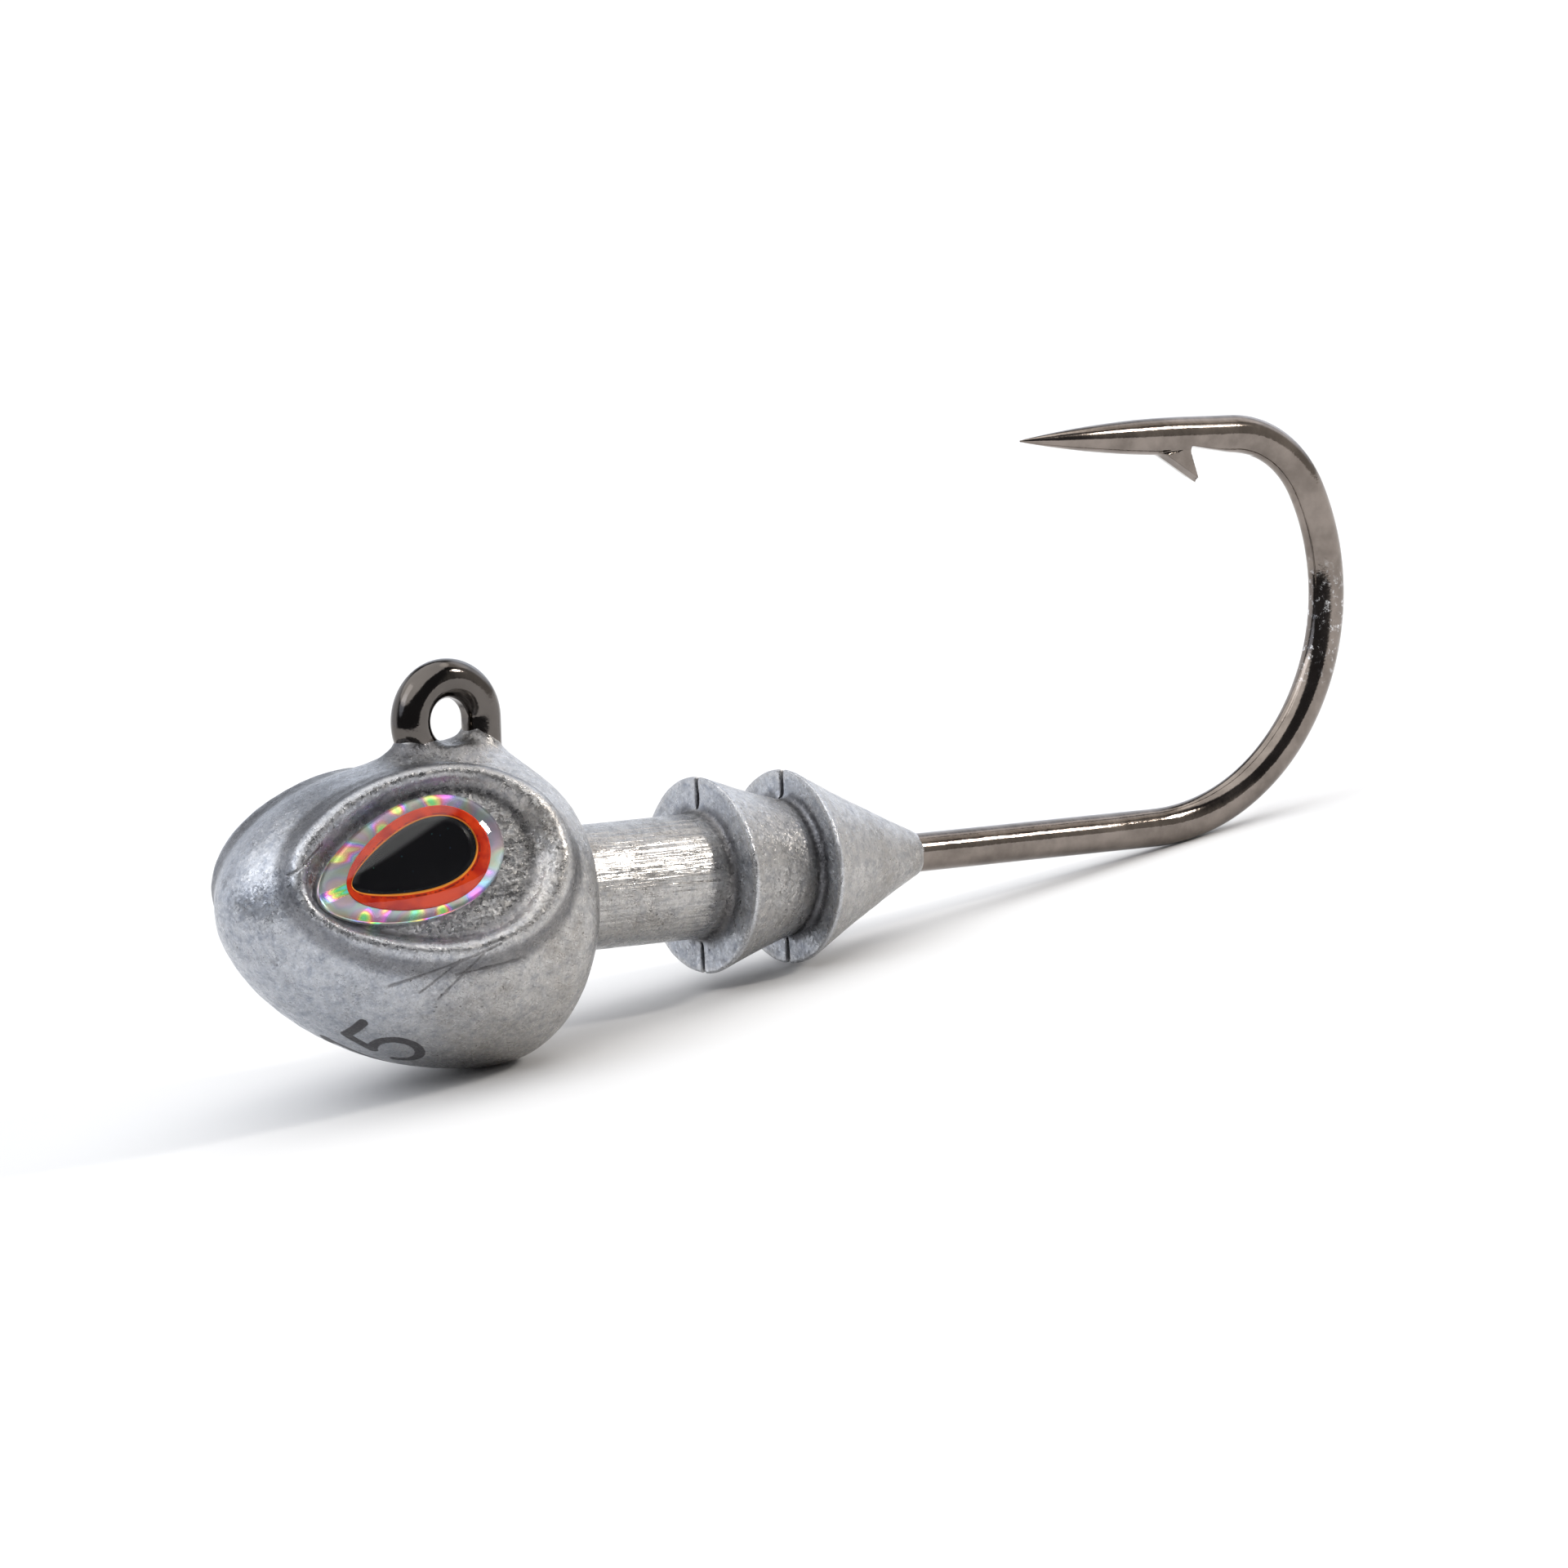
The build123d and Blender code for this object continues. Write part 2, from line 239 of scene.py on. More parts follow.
def lead(points):
    """Distance outside the lead casting."""
    u, v, w = points[..., 0], points[..., 1], points[..., 2]
    x, y, r = head_frame(u, v, w)
    length = np.where(x < 0, head_nose, head_back)
    power = np.where(x < 0, nose_power, back_power)
    ax, ar = np.abs(x) / length + 1e-6, r / head_radius
    s = (ax**power + ar**power) ** (1 / power)
    slope = s ** (1 - power) * np.hypot(ax ** (power - 1) / length, ar ** (power - 1) / head_radius)
    d = (s - 1) / np.maximum(slope, 0.02)

    # The neck, the lip where it leaves the head, and the two barbed collars.
    axis_r = np.sqrt(v * v + w * w) + 1e-6
    neck = blend_max(axis_r - neck_radius, np.abs(u - neck_middle) - neck_half, sharp_edge)
    lip = blend_max(axis_r - neck_radius - lip_height, np.abs(u - lip_middle) - lip_half, lip_edge)
    d = blend_min(d, blend_min(neck, lip, lip_edge), neck_fillet)
    first = cone_gap(u, axis_r, (barb_faces[0], rim_radius), (barb_faces[1], waist_radius), 0.05)
    first = blend_max(first, barb_faces[0] - u, face_edge)
    first = blend_max(first, u - barb_faces[1] - first_overlap, sharp_edge)
    second = cone_gap(u, axis_r, (barb_faces[1], rim_radius), (cone_end, cone_end_radius), 0.06)
    second = blend_max(second, barb_faces[1] - u, face_edge)
    ragged_end = u - cone_end + 0.04 * np.sin(9 * v + 5 * w)
    second = blend_max(second, ragged_end, 0.08)
    keeper = blend_min(first, second, barb_fillet)
    for face in barb_faces:
        slot = np.maximum(np.abs(w) - slot_half, np.abs(u - face) - slot_deep)
        slot = np.maximum(slot, neck_radius + slot_floor - axis_r)
        keeper = blend_max(keeper, -slot, 0.05)
    d = blend_min(d, keeper, keeper_fillet)

    # The collar, and the lead that crept up the legs of the line eye.
    rise = np.clip((v - collar_foot[0]) / (collar_top[0] - collar_foot[0]), -1, 1.3)
    half_u = collar_foot[1] + (collar_top[1] - collar_foot[1]) * rise
    half_w = collar_foot[2] + (collar_top[2] - collar_foot[2]) * rise
    g = np.sqrt((u / half_u) ** 2 + (w / half_w) ** 2) + 1e-6
    side = (g - 1) * g / (np.sqrt((u / half_u**2) ** 2 + (w / half_w**2) ** 2) + 1e-6) * collar_pace
    collar = blend_max(side, v - collar_top[0], collar_edge)
    collar = blend_max(collar, collar_sunk - v, 0.2)
    collar = collar + 0.07 * smooth(v, 4.6, 5.6) * ripple(u, v, w, 1.2, 21)
    d = blend_min(d, collar, collar_fillet)
    ring = np.sqrt((np.hypot(u, v - eye_height) - ring_radius) ** 2 + w * w) - wire_radius + 0.05
    creep = creep_height + creep_more * smooth(u, 0.5, 1.5) + 0.3 * ripple(u, v, w, 1.3, 23)
    d = blend_min(d, blend_max(ring, v - creep, 0.2), creep_fillet)

    # The raised rims round the eyes, and the pockets.
    px, py, h = pocket_frame(u, v, w)
    rim = egg_gap(px, py, egg_at(h, rim_eggs)) * rim_pace
    rim = blend_max(rim, h - rim_eggs[2][0] - rim_lift, rim_edge)
    rim = blend_max(rim, rim_eggs[0][0] - h, sharp_edge)
    d = blend_min(d, rim, rim_fillet)
    hollow = egg_gap(px, py, egg_at(h, hollow_eggs)) * pocket_pace
    hollow = blend_max(hollow, -h, pocket_fillet)
    d = blend_max(d, -hollow, pocket_edge)

    # The skin of a casting is never quite even. The flat that it stands on is cut last.
    uneven = 0.012 * ripple(u, v, w, 2.2, 3) + 0.005 * ripple(u, v, w, 0.7, 5)
    d = d + uneven * (1 - 0.8 * on_neck(u))
    shared_height = line_eye[2] / MM + u * ALONG[2] + (v - eye_height) * UP[2]
    return np.maximum(d, table_height / MM - shared_height)


def arc_gap(u, v, centre, radius, start, turn):
    """Distance in the hook's plane to an arc that starts at an angle and turns by some more."""
    du, dv = u - centre[0], v - centre[1]
    past = np.mod(np.arctan2(dv, du) - start + (2 * pi - turn) / 2, 2 * pi) - (2 * pi - turn) / 2
    on = np.abs(np.hypot(du, dv) - radius)
    ends = []
    for angle in (start, start + turn):
        ends.append(np.hypot(du - radius * cos(angle), dv - radius * sin(angle)))
    return np.where((past >= 0) & (past <= turn), on, np.minimum(*ends))


def line_gap(u, v, a, b):
    """Distance in a plane to the stretch from a to b."""
    du, dv = b[0] - a[0], b[1] - a[1]
    t = np.clip(((u - a[0]) * du + (v - a[1]) * dv) / (du * du + dv * dv), 0, 1)
    return np.hypot(u - a[0] - t * du, v - a[1] - t * dv)


bend_centre = (bend_start, bend_radius)
bend_end = bend_turn - pi / 2
throat_centre = (
    bend_centre[0] + (bend_radius - throat_radius) * cos(bend_end),
    bend_centre[1] + (bend_radius - throat_radius) * sin(bend_end),
)
throat_end = bend_end + throat_turn
arm_start = (
    throat_centre[0] + throat_radius * cos(throat_end),
    throat_centre[1] + throat_radius * sin(throat_end),
)
arm_way = (-sin(throat_end), cos(throat_end))


def arm_frame(u, v):
    """A point by the point's own arm: how far towards the tip, and how far towards the shank."""
    du, dv = u - arm_start[0], v - arm_start[1]
    return du * arm_way[0] + dv * arm_way[1], dv * arm_way[0] - du * arm_way[1]


def wire(points):
    """Distance outside the hook's wire."""
    u, v, w = points[..., 0], points[..., 1], points[..., 2]
    path = arc_gap(u, v, (0, eye_height), ring_radius, 0, 1.5 * pi)
    path = np.minimum(path, line_gap(u, v, (ring_radius, eye_height), (ring_radius, leg_bend)))
    path = np.minimum(path, line_gap(u, v, (ring_radius + leg_bend, 0), (bend_start, 0)))
    path = np.minimum(path, arc_gap(u, v, bend_centre, bend_radius, -pi / 2, bend_turn))
    path = np.minimum(path, arc_gap(u, v, throat_centre, throat_radius, bend_end, throat_turn))
    # The bend and the point are squeezed a little flat from both sides.
    half = wire_radius - (wire_radius - flat_half) * smooth(u, flat_from, flat_full)
    squeezed = w * wire_radius / half
    d = np.sqrt(path * path + squeezed**2) - wire_radius

    # The point's arm: round, and ground to an ogive.
    x, y = arm_frame(u, v)
    share = np.clip((x - arm_length + arm_taper) / arm_taper, 0, 1)
    radius = wire_radius * (1 - share**2) + tip_radius * share
    lean = np.where(share > 0, 1 / np.sqrt(1 + (2 * share * wire_radius / arm_taper) ** 2), 1)
    arm = (np.sqrt(y * y + squeezed**2) - radius) * lean
    arm = np.maximum(np.maximum(arm, -x), x - arm_length)
    d = blend_min(d, arm, 0.004)

    # The chisel cut, then the barb that it raised.
    du, dy = scoop_to[0] - scoop_from[0], scoop_to[1] - scoop_from[1]
    cut = ((x - scoop_from[0]) * dy - (y - scoop_from[1]) * du) / sqrt(du * du + dy * dy)
    cut = np.maximum(np.maximum(cut, x - scoop_to[0]), np.maximum(scoop_from[0] - x, y - scoop_reach))
    d = blend_max(d, -cut, 0.08)
    tri = np.full_like(x, -10.0)
    corners = [*barb_points, barb_points[0]]
    for a, b in zip(corners, corners[1:]):
        ex, ey = b[0] - a[0], b[1] - a[1]
        tri = np.maximum(tri, ((x - a[0]) * ey - (y - a[1]) * ex) / sqrt(ex * ex + ey * ey))
    spur = blend_max(tri + barb_slope * np.abs(w), np.abs(w) - barb_half, 0.03)
    d = blend_min(d, spur, 0.10)

    # The rubbed hole of the line eye.
    return np.maximum(d, ring_hole - np.hypot(u, v - eye_height)) + 0.0025 * ripple(u, v, w, 2.5, 11)


# ---- meshes --------------------------------------------------------------------------------------
def sample(field, low, counts, step):
    """The field on a grid. Blocks that the surface doesn't come near only get their sign."""
    values = np.empty(counts, np.float32)
    offsets = np.stack(np.meshgrid(*[np.arange(block) * step] * 3, indexing="ij"), -1)
    near_enough = 1.2 * block * step + 0.2
    js, ks = np.meshgrid(np.arange(0, counts[1], block), np.arange(0, counts[2], block), indexing="ij")
    js, ks = js.ravel(), ks.ravel()
    for i in range(0, counts[0], block):
        corners = low + step * np.stack([np.full_like(js, i), js, ks], -1)
        middles = field(corners + step * block / 2)
        near = np.abs(middles) < near_enough
        found = field(corners[near][:, None, None, None, :] + offsets) if near.any() else None
        at = 0
        for j, k, close, middle in zip(js, ks, near, middles):
            values[i : i + block, j : j + block, k : k + block] = found[at] if close else middle
            at += int(close)
    return values


def surface(field, low, high, step):
    """The closed surface where the field is zero: its points, its outward normals and its quads."""
    low, high = np.array(low, float), np.array(high, float)
    counts = (np.ceil((high - low) / step / block) * block).astype(int)
    values = sample(field, low, counts, step)
    inside = values < 0
    corners = [(i, j, k) for i in (0, 1) for j in (0, 1) for k in (0, 1)]
    n = [c - 1 for c in counts]
    total = np.zeros(n, np.uint8)
    for i, j, k in corners:
        total += inside[i : i + n[0], j : j + n[1], k : k + n[2]]
    active = (total > 0) & (total < 8)
    cells = np.argwhere(active)
    number = np.full(active.shape, -1, np.int64)
    number[active] = np.arange(len(cells))

    crossing, share = np.zeros((len(cells), 3)), np.zeros(len(cells))
    for a in corners:
        for axis in range(3):
            if a[axis]:
                continue
            b = np.array(a)
            b[axis] = 1
            va = values[tuple((cells + a).T)]
            vb = values[tuple((cells + b).T)]
            cut = (va < 0) != (vb < 0)
            t = np.where(cut, va / np.where(cut, va - vb, 1), 0)
            crossing += np.where(cut[:, None], np.array(a) + t[:, None] * (b - a), 0)
            share += cut
    points = low + step * (cells + crossing / share[:, None])

    quads = []
    for axis in range(3):
        across, over = (axis + 1) % 3, (axis + 2) % 3
        first = [slice(None)] * 3
        second = [slice(None)] * 3
        first[axis], second[axis] = slice(0, -1), slice(1, None)
        change = inside[tuple(first)] != inside[tuple(second)]
        edges = np.argwhere(change)
        room = (edges[:, across] > 0) & (edges[:, over] > 0)
        room &= (edges[:, across] < n[across]) & (edges[:, over] < n[over])
        edges = edges[room]
        ring = []
        for back_across, back_over in ((1, 1), (0, 1), (0, 0), (1, 0)):
            cell = edges.copy()
            cell[:, across] -= back_across
            cell[:, over] -= back_over
            ring.append(number[tuple(cell.T)])
        ring = np.stack(ring, -1)
        outward = inside[tuple(edges.T)]
        quads.append(np.where(outward[:, None], ring[:, ::-1], ring))  # the hook's frame is left-handed
    quads = np.concatenate(quads)

    for _ in range(3):
        gradient = slope_of(field, points)
        steepness = np.maximum((gradient**2).sum(-1), 0.05)
        move = -(field(points) / steepness)[:, None] * gradient
        reach = np.linalg.norm(move, axis=1)[:, None] + 1e-12
        points = points + move * np.minimum(1, 0.5 * step / reach)
    normals = slope_of(field, points)
    return points, normals / (np.linalg.norm(normals, axis=1)[:, None] + 1e-12), quads


def slope_of(field, points, reach=0.012):
    """The field's gradient, which points straight out of the surface."""
    slopes = []
    for axis in range(3):
        move = np.zeros(3)
        move[axis] = reach
        slopes.append((field(points + move) - field(points - move)) / (2 * reach))
    return np.stack(slopes, -1)


def to_frame(points):
    """Points of the hook's frame, in metres of the shared frame."""
    points = np.asarray(points, float)
    heights = points[..., 1:2] - eye_height
    return line_eye + MM * (points[..., :1] * ALONG + heights * UP + points[..., 2:] * RIGHT)


def turn_to_frame(directions):
    """Directions of the hook's frame, turned into the shared frame."""
    return directions[..., :1] * ALONG + directions[..., 1:2] * UP + directions[..., 2:] * RIGHT


def make_piece(name, points, faces, material, normals=None, values=None):
    """A mesh object that rides on the part, from points in the hook's frame."""
    mesh = bpy.data.meshes.new(name)
    mesh.from_pydata(to_frame(points), [], faces)
    mesh.validate()
    mesh.polygons.foreach_set("use_smooth", [True] * len(mesh.polygons))
    for label, amounts in (values or {}).items():
        attribute = mesh.attributes.new(label, "FLOAT", "POINT")
        attribute.data.foreach_set("value", np.asarray(amounts, np.float32))
    if normals is not None:
        mesh.normals_split_custom_set_from_vertices(turn_to_frame(normals))
    mesh.materials.append(material)
    piece = bpy.data.objects.new(name, mesh)
    bpy.context.scene.collection.objects.link(piece)
    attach(piece, "root")
    return piece


def bulge_of(points, normals, quads, rounds):
    """How far the surface stands out of its neighbourhood, less than 0 in a corner and more on a ridge."""
    edges = np.concatenate([quads[:, [i, (i + 1) % 4]] for i in range(4)])
    count = np.bincount(edges[:, 0], minlength=len(points))
    count += np.bincount(edges[:, 1], minlength=len(points))

    def mean(values):
        total = np.bincount(edges[:, 0], values[edges[:, 1]], len(points))
        total += np.bincount(edges[:, 1], values[edges[:, 0]], len(points))
        return total / np.maximum(count, 1)

    smoothed = [points[:, i] for i in range(3)]
    for _ in range(rounds):
        smoothed = [mean(s) for s in smoothed]
    bulge = ((points - np.stack(smoothed, -1)) * normals).sum(-1)
    for _ in range(rounds // 2):
        bulge = mean(bulge)
    return bulge


# ---- materials -----------------------------------------------------------------------------------
def new_material(name):
    """A material, its node tree and its one shader."""
    material = bpy.data.materials.new(name)
    material.use_nodes = True
    tree = material.node_tree
    return material, tree, tree.nodes["Principled BSDF"]


def add(tree, kind, inputs=None, **settings):
    """A node with its settings and inputs; an input is a value or another node's socket."""
    found = tree.nodes.new(kind)
    for key, value in settings.items():
        setattr(found, key, value)
    for key, value in (inputs or {}).items():
        if isinstance(value, bpy.types.NodeSocket):
            tree.links.new(value, found.inputs[key])
        else:
            found.inputs[key].default_value = value
    return found


def math(tree, operation, a, b=0.0):
    """A sum on one or two values, each a number or another node's socket."""
    return add(tree, "ShaderNodeMath", {0: a, 1: b}, operation=operation).outputs[0]


def times(tree, a, b):
    return math(tree, "MULTIPLY", a, b)


def spread(tree, value, low, high, to_low=0.0, to_high=1.0):
    """A value from low to high, eased to the range asked for."""
    inputs = {"Value": value, "From Min": low, "From Max": high, "To Min": to_low, "To Max": to_high}
    return add(tree, "ShaderNodeMapRange", inputs, interpolation_type="SMOOTHSTEP").outputs["Result"]


def mix(tree, share, a, b, how="MIX"):
    """Colour a, turning into colour b by a share."""
    found = add(tree, "ShaderNodeMix", {0: share, 6: a, 7: b}, data_type="RGBA", blend_type=how)
    return found.outputs[2]


def noise(tree, place, scale, detail=3.0, rough=0.55):
    """A cloudy pattern, with about as many clouds to the millimetre as the scale says."""
    inputs = {"Vector": place, "Scale": scale, "Detail": detail, "Roughness": rough}
    return add(tree, "ShaderNodeTexNoise", inputs).outputs["Fac"]


def cell_pattern(tree, place, scale, out="Distance"):
    """Close-packed cells: how far a point is from its cell's middle, or the cell's own random colour."""
    return add(tree, "ShaderNodeTexVoronoi", {"Vector": place, "Scale": scale}).outputs[out]


def attribute(tree, name):
    """A value that the mesh holds at each of its points."""
    return add(tree, "ShaderNodeAttribute", attribute_name=name).outputs["Fac"]


def place_of(tree, stretch=(1, 1, 1), turn=(0, 0, 0)):
    """The object's own coordinates in millimetres, stretched and turned."""
    found = add(tree, "ShaderNodeTexCoord").outputs["Object"]
    scale = [MM / s for s in stretch]
    inputs = {"Vector": found, "Rotation": turn, "Scale": scale}
    return add(tree, "ShaderNodeMapping", inputs, vector_type="TEXTURE").outputs[0]


def vector_math(tree, operation, inputs):
    return add(tree, "ShaderNodeVectorMath", inputs, operation=operation).outputs[0]


def bumped(tree, height, strength, distance):
    """The normal of a surface with a height on it. The distance is in millimetres."""
    inputs = {"Height": height, "Strength": strength, "Distance": distance * MM}
    return add(tree, "ShaderNodeBump", inputs).outputs[0]


def lead_material():
    """Cast lead: mottled, stained and pitted, with crystals that catch the light; painted shade and
    highlights.
    """
    material, tree, shader = new_material("cast_lead")
    place = place_of(tree)
    patches = noise(tree, place, 0.45, 5.0, 0.6)
    mottle = noise(tree, place, 2.6, 6.0, 0.68)
    grain = noise(tree, place, 11.0, 4.0, 0.7)
    crystals = cell_pattern(tree, place, 5.0, out="Color")
    crystal = add(tree, "ShaderNodeSeparateColor", {0: crystals}).outputs[0]
    fine_crystals = cell_pattern(tree, place, 11.0, out="Color")
    fine = add(tree, "ShaderNodeSeparateColor", {0: fine_crystals}).outputs[1]
    pits = spread(tree, cell_pattern(tree, place, 2.3), 0.05, 0.13, 1.0, 0.0)
    pits = times(tree, pits, spread(tree, patches, 0.46, 0.60))
    polish_and_highlight = attribute(tree, "polish_and_highlight")
    painted_shade = attribute(tree, "painted_shade")
    mark = attribute(tree, "mark")
    gouge = attribute(tree, "gouge")

    # Long fine scratches, along and across the casting.
    scratch = 0.0
    for turn, stretch in (((0.3, 0.5, 0.2), (0.35, 9, 9)), ((0.1, -0.6, 1.3), (0.3, 7, 7))):
        line = noise(tree, place_of(tree, stretch, turn), 1.0, 2.0, 0.5)
        line = math(tree, "ABSOLUTE", math(tree, "SUBTRACT", line, 0.5))
        line = spread(tree, line, 0.0, 0.010, 1.0, 0.0)
        line = times(tree, line, spread(tree, patches, 0.42, 0.55))
        scratch = math(tree, "MAXIMUM", line, scratch)

    # Bright and dull lead, then stains, patches, flashing and dark grains, pits and scratches.
    bright, dull = (0.53, 0.52, 0.515, 1), (0.30, 0.31, 0.34, 1)
    colour = mix(tree, spread(tree, mottle, 0.22, 0.62), dull, bright)
    stain = spread(tree, noise(tree, place, 0.9, 8.0, 0.78), 0.56, 0.70)
    colour = mix(tree, times(tree, stain, 0.55), colour, (0.17, 0.165, 0.17, 1))
    patched = times(tree, spread(tree, patches, 0.5, 0.72), 0.5)
    colour = mix(tree, patched, colour, (0.36, 0.335, 0.31, 1))
    flashing = times(tree, spread(tree, fine, 0.6, 1.0), 0.45)
    colour = mix(tree, flashing, colour, (0.62, 0.62, 0.63, 1))
    colour = mix(tree, spread(tree, grain, 0.50, 0.68, 0.0, 0.40), colour, (0.17, 0.165, 0.16, 1))
    colour = mix(tree, times(tree, pits, 0.7), colour, (0.10, 0.095, 0.09, 1))
    colour = mix(tree, times(tree, scratch, 0.4), colour, (0.16, 0.155, 0.15, 1))
    # A painted light tint by mesh values, which also mark scratches, painted shade and highlight, polish
    # and ink.
    painted_light_tint = mix(tree, attribute(tree, "painted_cool_tint"), (1.0, 0.985, 0.955, 1), (0.90, 0.965, 1.07, 1))
    colour = mix(tree, 1.0, colour, painted_light_tint, "MULTIPLY")
    colour = mix(tree, times(tree, gouge, 0.6), colour, (0.09, 0.085, 0.085, 1))
    # Painted shade: darker in corners and hollows, under the rims, before the barbs and over the brow.
    colour = mix(tree, spread(tree, painted_shade, 0.1, 1.0, 0.0, 0.78), colour, (0.075, 0.073, 0.078, 1))
    # Painted highlight along with the polish: the ridges lighter.
    colour = mix(tree, spread(tree, polish_and_highlight, 0.2, 1.0, 0.0, 0.75), colour, (0.62, 0.61, 0.60, 1))
    edge = math(tree, "ADD", mark, times(tree, math(tree, "SUBTRACT", grain, 0.5), 0.10))
    ink = spread(tree, edge, -0.03, 0.03, 1.0, 0.0)
    ink = times(tree, ink, spread(tree, mottle, 0.25, 0.40, 0.8, 1.0))
    colour = mix(tree, ink, colour, (0.055, 0.053, 0.058, 1))
    tree.links.new(colour, shader.inputs["Base Color"])

    rough = spread(tree, mottle, 0.3, 0.7, 0.40, 0.26)
    uneven_gloss = times(tree, math(tree, "SUBTRACT", crystal, 0.5), 0.16)
    rough = math(tree, "ADD", rough, uneven_gloss)
    rough = math(tree, "SUBTRACT", rough, spread(tree, polish_and_highlight, 0.2, 1.0, 0.0, 0.10))
    rough = math(tree, "ADD", rough, times(tree, ink, 0.15))
    rough = math(tree, "SUBTRACT", rough, times(tree, attribute(tree, "brushed"), 0.04))
    tree.links.new(rough, shader.inputs["Roughness"])
    tree.links.new(spread(tree, ink, 0.0, 1.0, 1.0, 0.25), shader.inputs["Metallic"])

    # The height of the skin: grain, and where it was brushed, fine lines along the shank instead.
    brush_lines = noise(tree, place_of(tree, (0.2, 5, 5), (0, brush_pitch, 0)), 1.0, 3.0, 0.6)
    uneven = math(tree, "ADD", times(tree, grain, 0.7), times(tree, mottle, 0.6))
    smoothed = spread(tree, attribute(tree, "brushed"), 0.0, 1.0, 1.0, 0.25)
    height = times(tree, times(tree, brush_lines, attribute(tree, "brushed")), 4.0)
    height = math(tree, "ADD", height, times(tree, uneven, smoothed))
    height = math(tree, "SUBTRACT", height, times(tree, pits, 1.3))
    height = math(tree, "SUBTRACT", height, times(tree, scratch, 0.9))
    height = math(tree, "SUBTRACT", height, times(tree, gouge, 1.5))
    normal = bumped(tree, height, 0.55, 0.035)
    # Each crystal of the casting's skin lies at its own slight tilt, so some of them flash.
    for tints, amount in ((crystals, 0.08), (fine_crystals, 0.20)):
        tilt = vector_math(tree, "SUBTRACT", {0: tints, 1: (0.5, 0.5, 0.5)})
        tilt = vector_math(tree, "SCALE", {0: tilt, 3: times(tree, smoothed, amount)})
        normal = vector_math(tree, "ADD", {0: tilt, 1: normal})
    tree.links.new(vector_math(tree, "NORMALIZE", {0: normal}), shader.inputs["Normal"])
    return material


def wire_material():
    """Black nickel: a brown mirror, with bright scuffs at the back of the bend, painted shade on the line
    eye.
    """
    material, tree, shader = new_material("hook_wire")
    place = place_of(tree)
    cloud = noise(tree, place, 0.7, 4.0, 0.6)
    fine = noise(tree, place, 9.0, 3.0, 0.6)
    rubbed = spread(tree, noise(tree, place, 3.2, 6.0, 0.75), 0.54, 0.66)
    scuff = times(tree, attribute(tree, "scuff"), rubbed)
    colour = mix(tree, spread(tree, cloud, 0.3, 0.7), (0.17, 0.145, 0.127, 1), (0.27, 0.232, 0.205, 1))
    # Painted shade: the line eye darker.
    colour = mix(tree, attribute(tree, "painted_ring_shade"), colour, (0.095, 0.088, 0.083, 1))
    colour = mix(tree, scuff, colour, (0.85, 0.85, 0.86, 1))
    tree.links.new(colour, shader.inputs["Base Color"])
    rough = spread(tree, cloud, 0.3, 0.7, 0.07, 0.14)
    rough = math(tree, "ADD", rough, times(tree, scuff, 0.3))
    tree.links.new(rough, shader.inputs["Roughness"])
    shader.inputs["Metallic"].default_value = 1.0
    height = math(tree, "ADD", cloud, times(tree, fine, 0.12))
    tree.links.new(bumped(tree, height, 0.35, 0.05), shader.inputs["Normal"])
    return material


def hued(tree, hue, strength, brightness):
    """A colour from its place in the rainbow, 0 to 1."""
    inputs = {0: hue, 1: strength, 2: brightness}
    return add(tree, "ShaderNodeCombineColor", inputs, mode="HSV").outputs[0]


def foil_material():
    """Silver foil with a pressed rainbow: patches of pure colour that run outwards from the pupil."""
    material, tree, shader = new_material("eye_foil")
    place = place_of(tree)
    turn = attribute(tree, "turn")
    inputs = {0: times(tree, turn, 4.0), 1: attribute(tree, "edge"), 2: 0.0}
    rays = add(tree, "ShaderNodeCombineXYZ", inputs).outputs[0]
    streak = noise(tree, rays, 1.9, 1.5, 0.5)
    blotch = noise(tree, place, 0.75, 1.0, 0.5)
    hue = math(tree, "ADD", times(tree, streak, 3.0), times(tree, blotch, 4.0))
    hue = math(tree, "FRACT", hue)
    pure = hued(tree, hue, 0.75, 1.0)
    pale = hued(tree, hue, 0.20, 0.55)
    flash = times(tree, spread(tree, streak, 0.47, 0.58), spread(tree, blotch, 0.40, 0.54))
    colour = mix(tree, flash, pale, pure)
    tree.links.new(colour, shader.inputs["Base Color"])
    shader.inputs["Metallic"].default_value = 0.9
    tree.links.new(spread(tree, flash, 0.0, 1.0, 0.30, 0.15), shader.inputs["Roughness"])
    # Painted glow: the brightest patches give off light of their own.
    tree.links.new(colour, shader.inputs["Emission Color"])
    tree.links.new(times(tree, flash, 0.32), shader.inputs["Emission Strength"])
    tree.links.new(bumped(tree, streak, 0.5, 0.05), shader.inputs["Normal"])
    return material


def iris_material():
    """Red ink with a gold inner edge and a broken dark line, placed by the share from pupil to rim."""
    material, tree, shader = new_material("iris_ink")
    edge = attribute(tree, "edge")
    place = place_of(tree)
    cloud = noise(tree, place, 1.4, 3.0, 0.5)
    red = mix(tree, spread(tree, cloud, 0.35, 0.65), (0.42, 0.014, 0.003, 1), (0.66, 0.050, 0.006, 1))
    dots = spread(tree, noise(tree, place, 7.0, 2.0, 0.5), 0.47, 0.53)
    off_line = math(tree, "ABSOLUTE", math(tree, "SUBTRACT", edge, 0.24))
    dark_line = times(tree, spread(tree, off_line, 0.02, 0.07, 1, 0), dots)
    colour = mix(tree, times(tree, dark_line, 0.8), red, (0.07, 0.012, 0.008, 1))
    gold = spread(tree, edge, 0.09, 0.15, 1.0, 0.0)
    colour = mix(tree, gold, colour, (0.86, 0.34, 0.05, 1))
    tree.links.new(colour, shader.inputs["Base Color"])
    tree.links.new(spread(tree, cloud, 0.3, 0.7, 0.30, 0.42), shader.inputs["Roughness"])
    tree.links.new(spread(tree, gold, 0.0, 1.0, 0.1, 0.9), shader.inputs["Metallic"])
    shader.inputs["Specular IOR Level"].default_value = 0.1
    return material


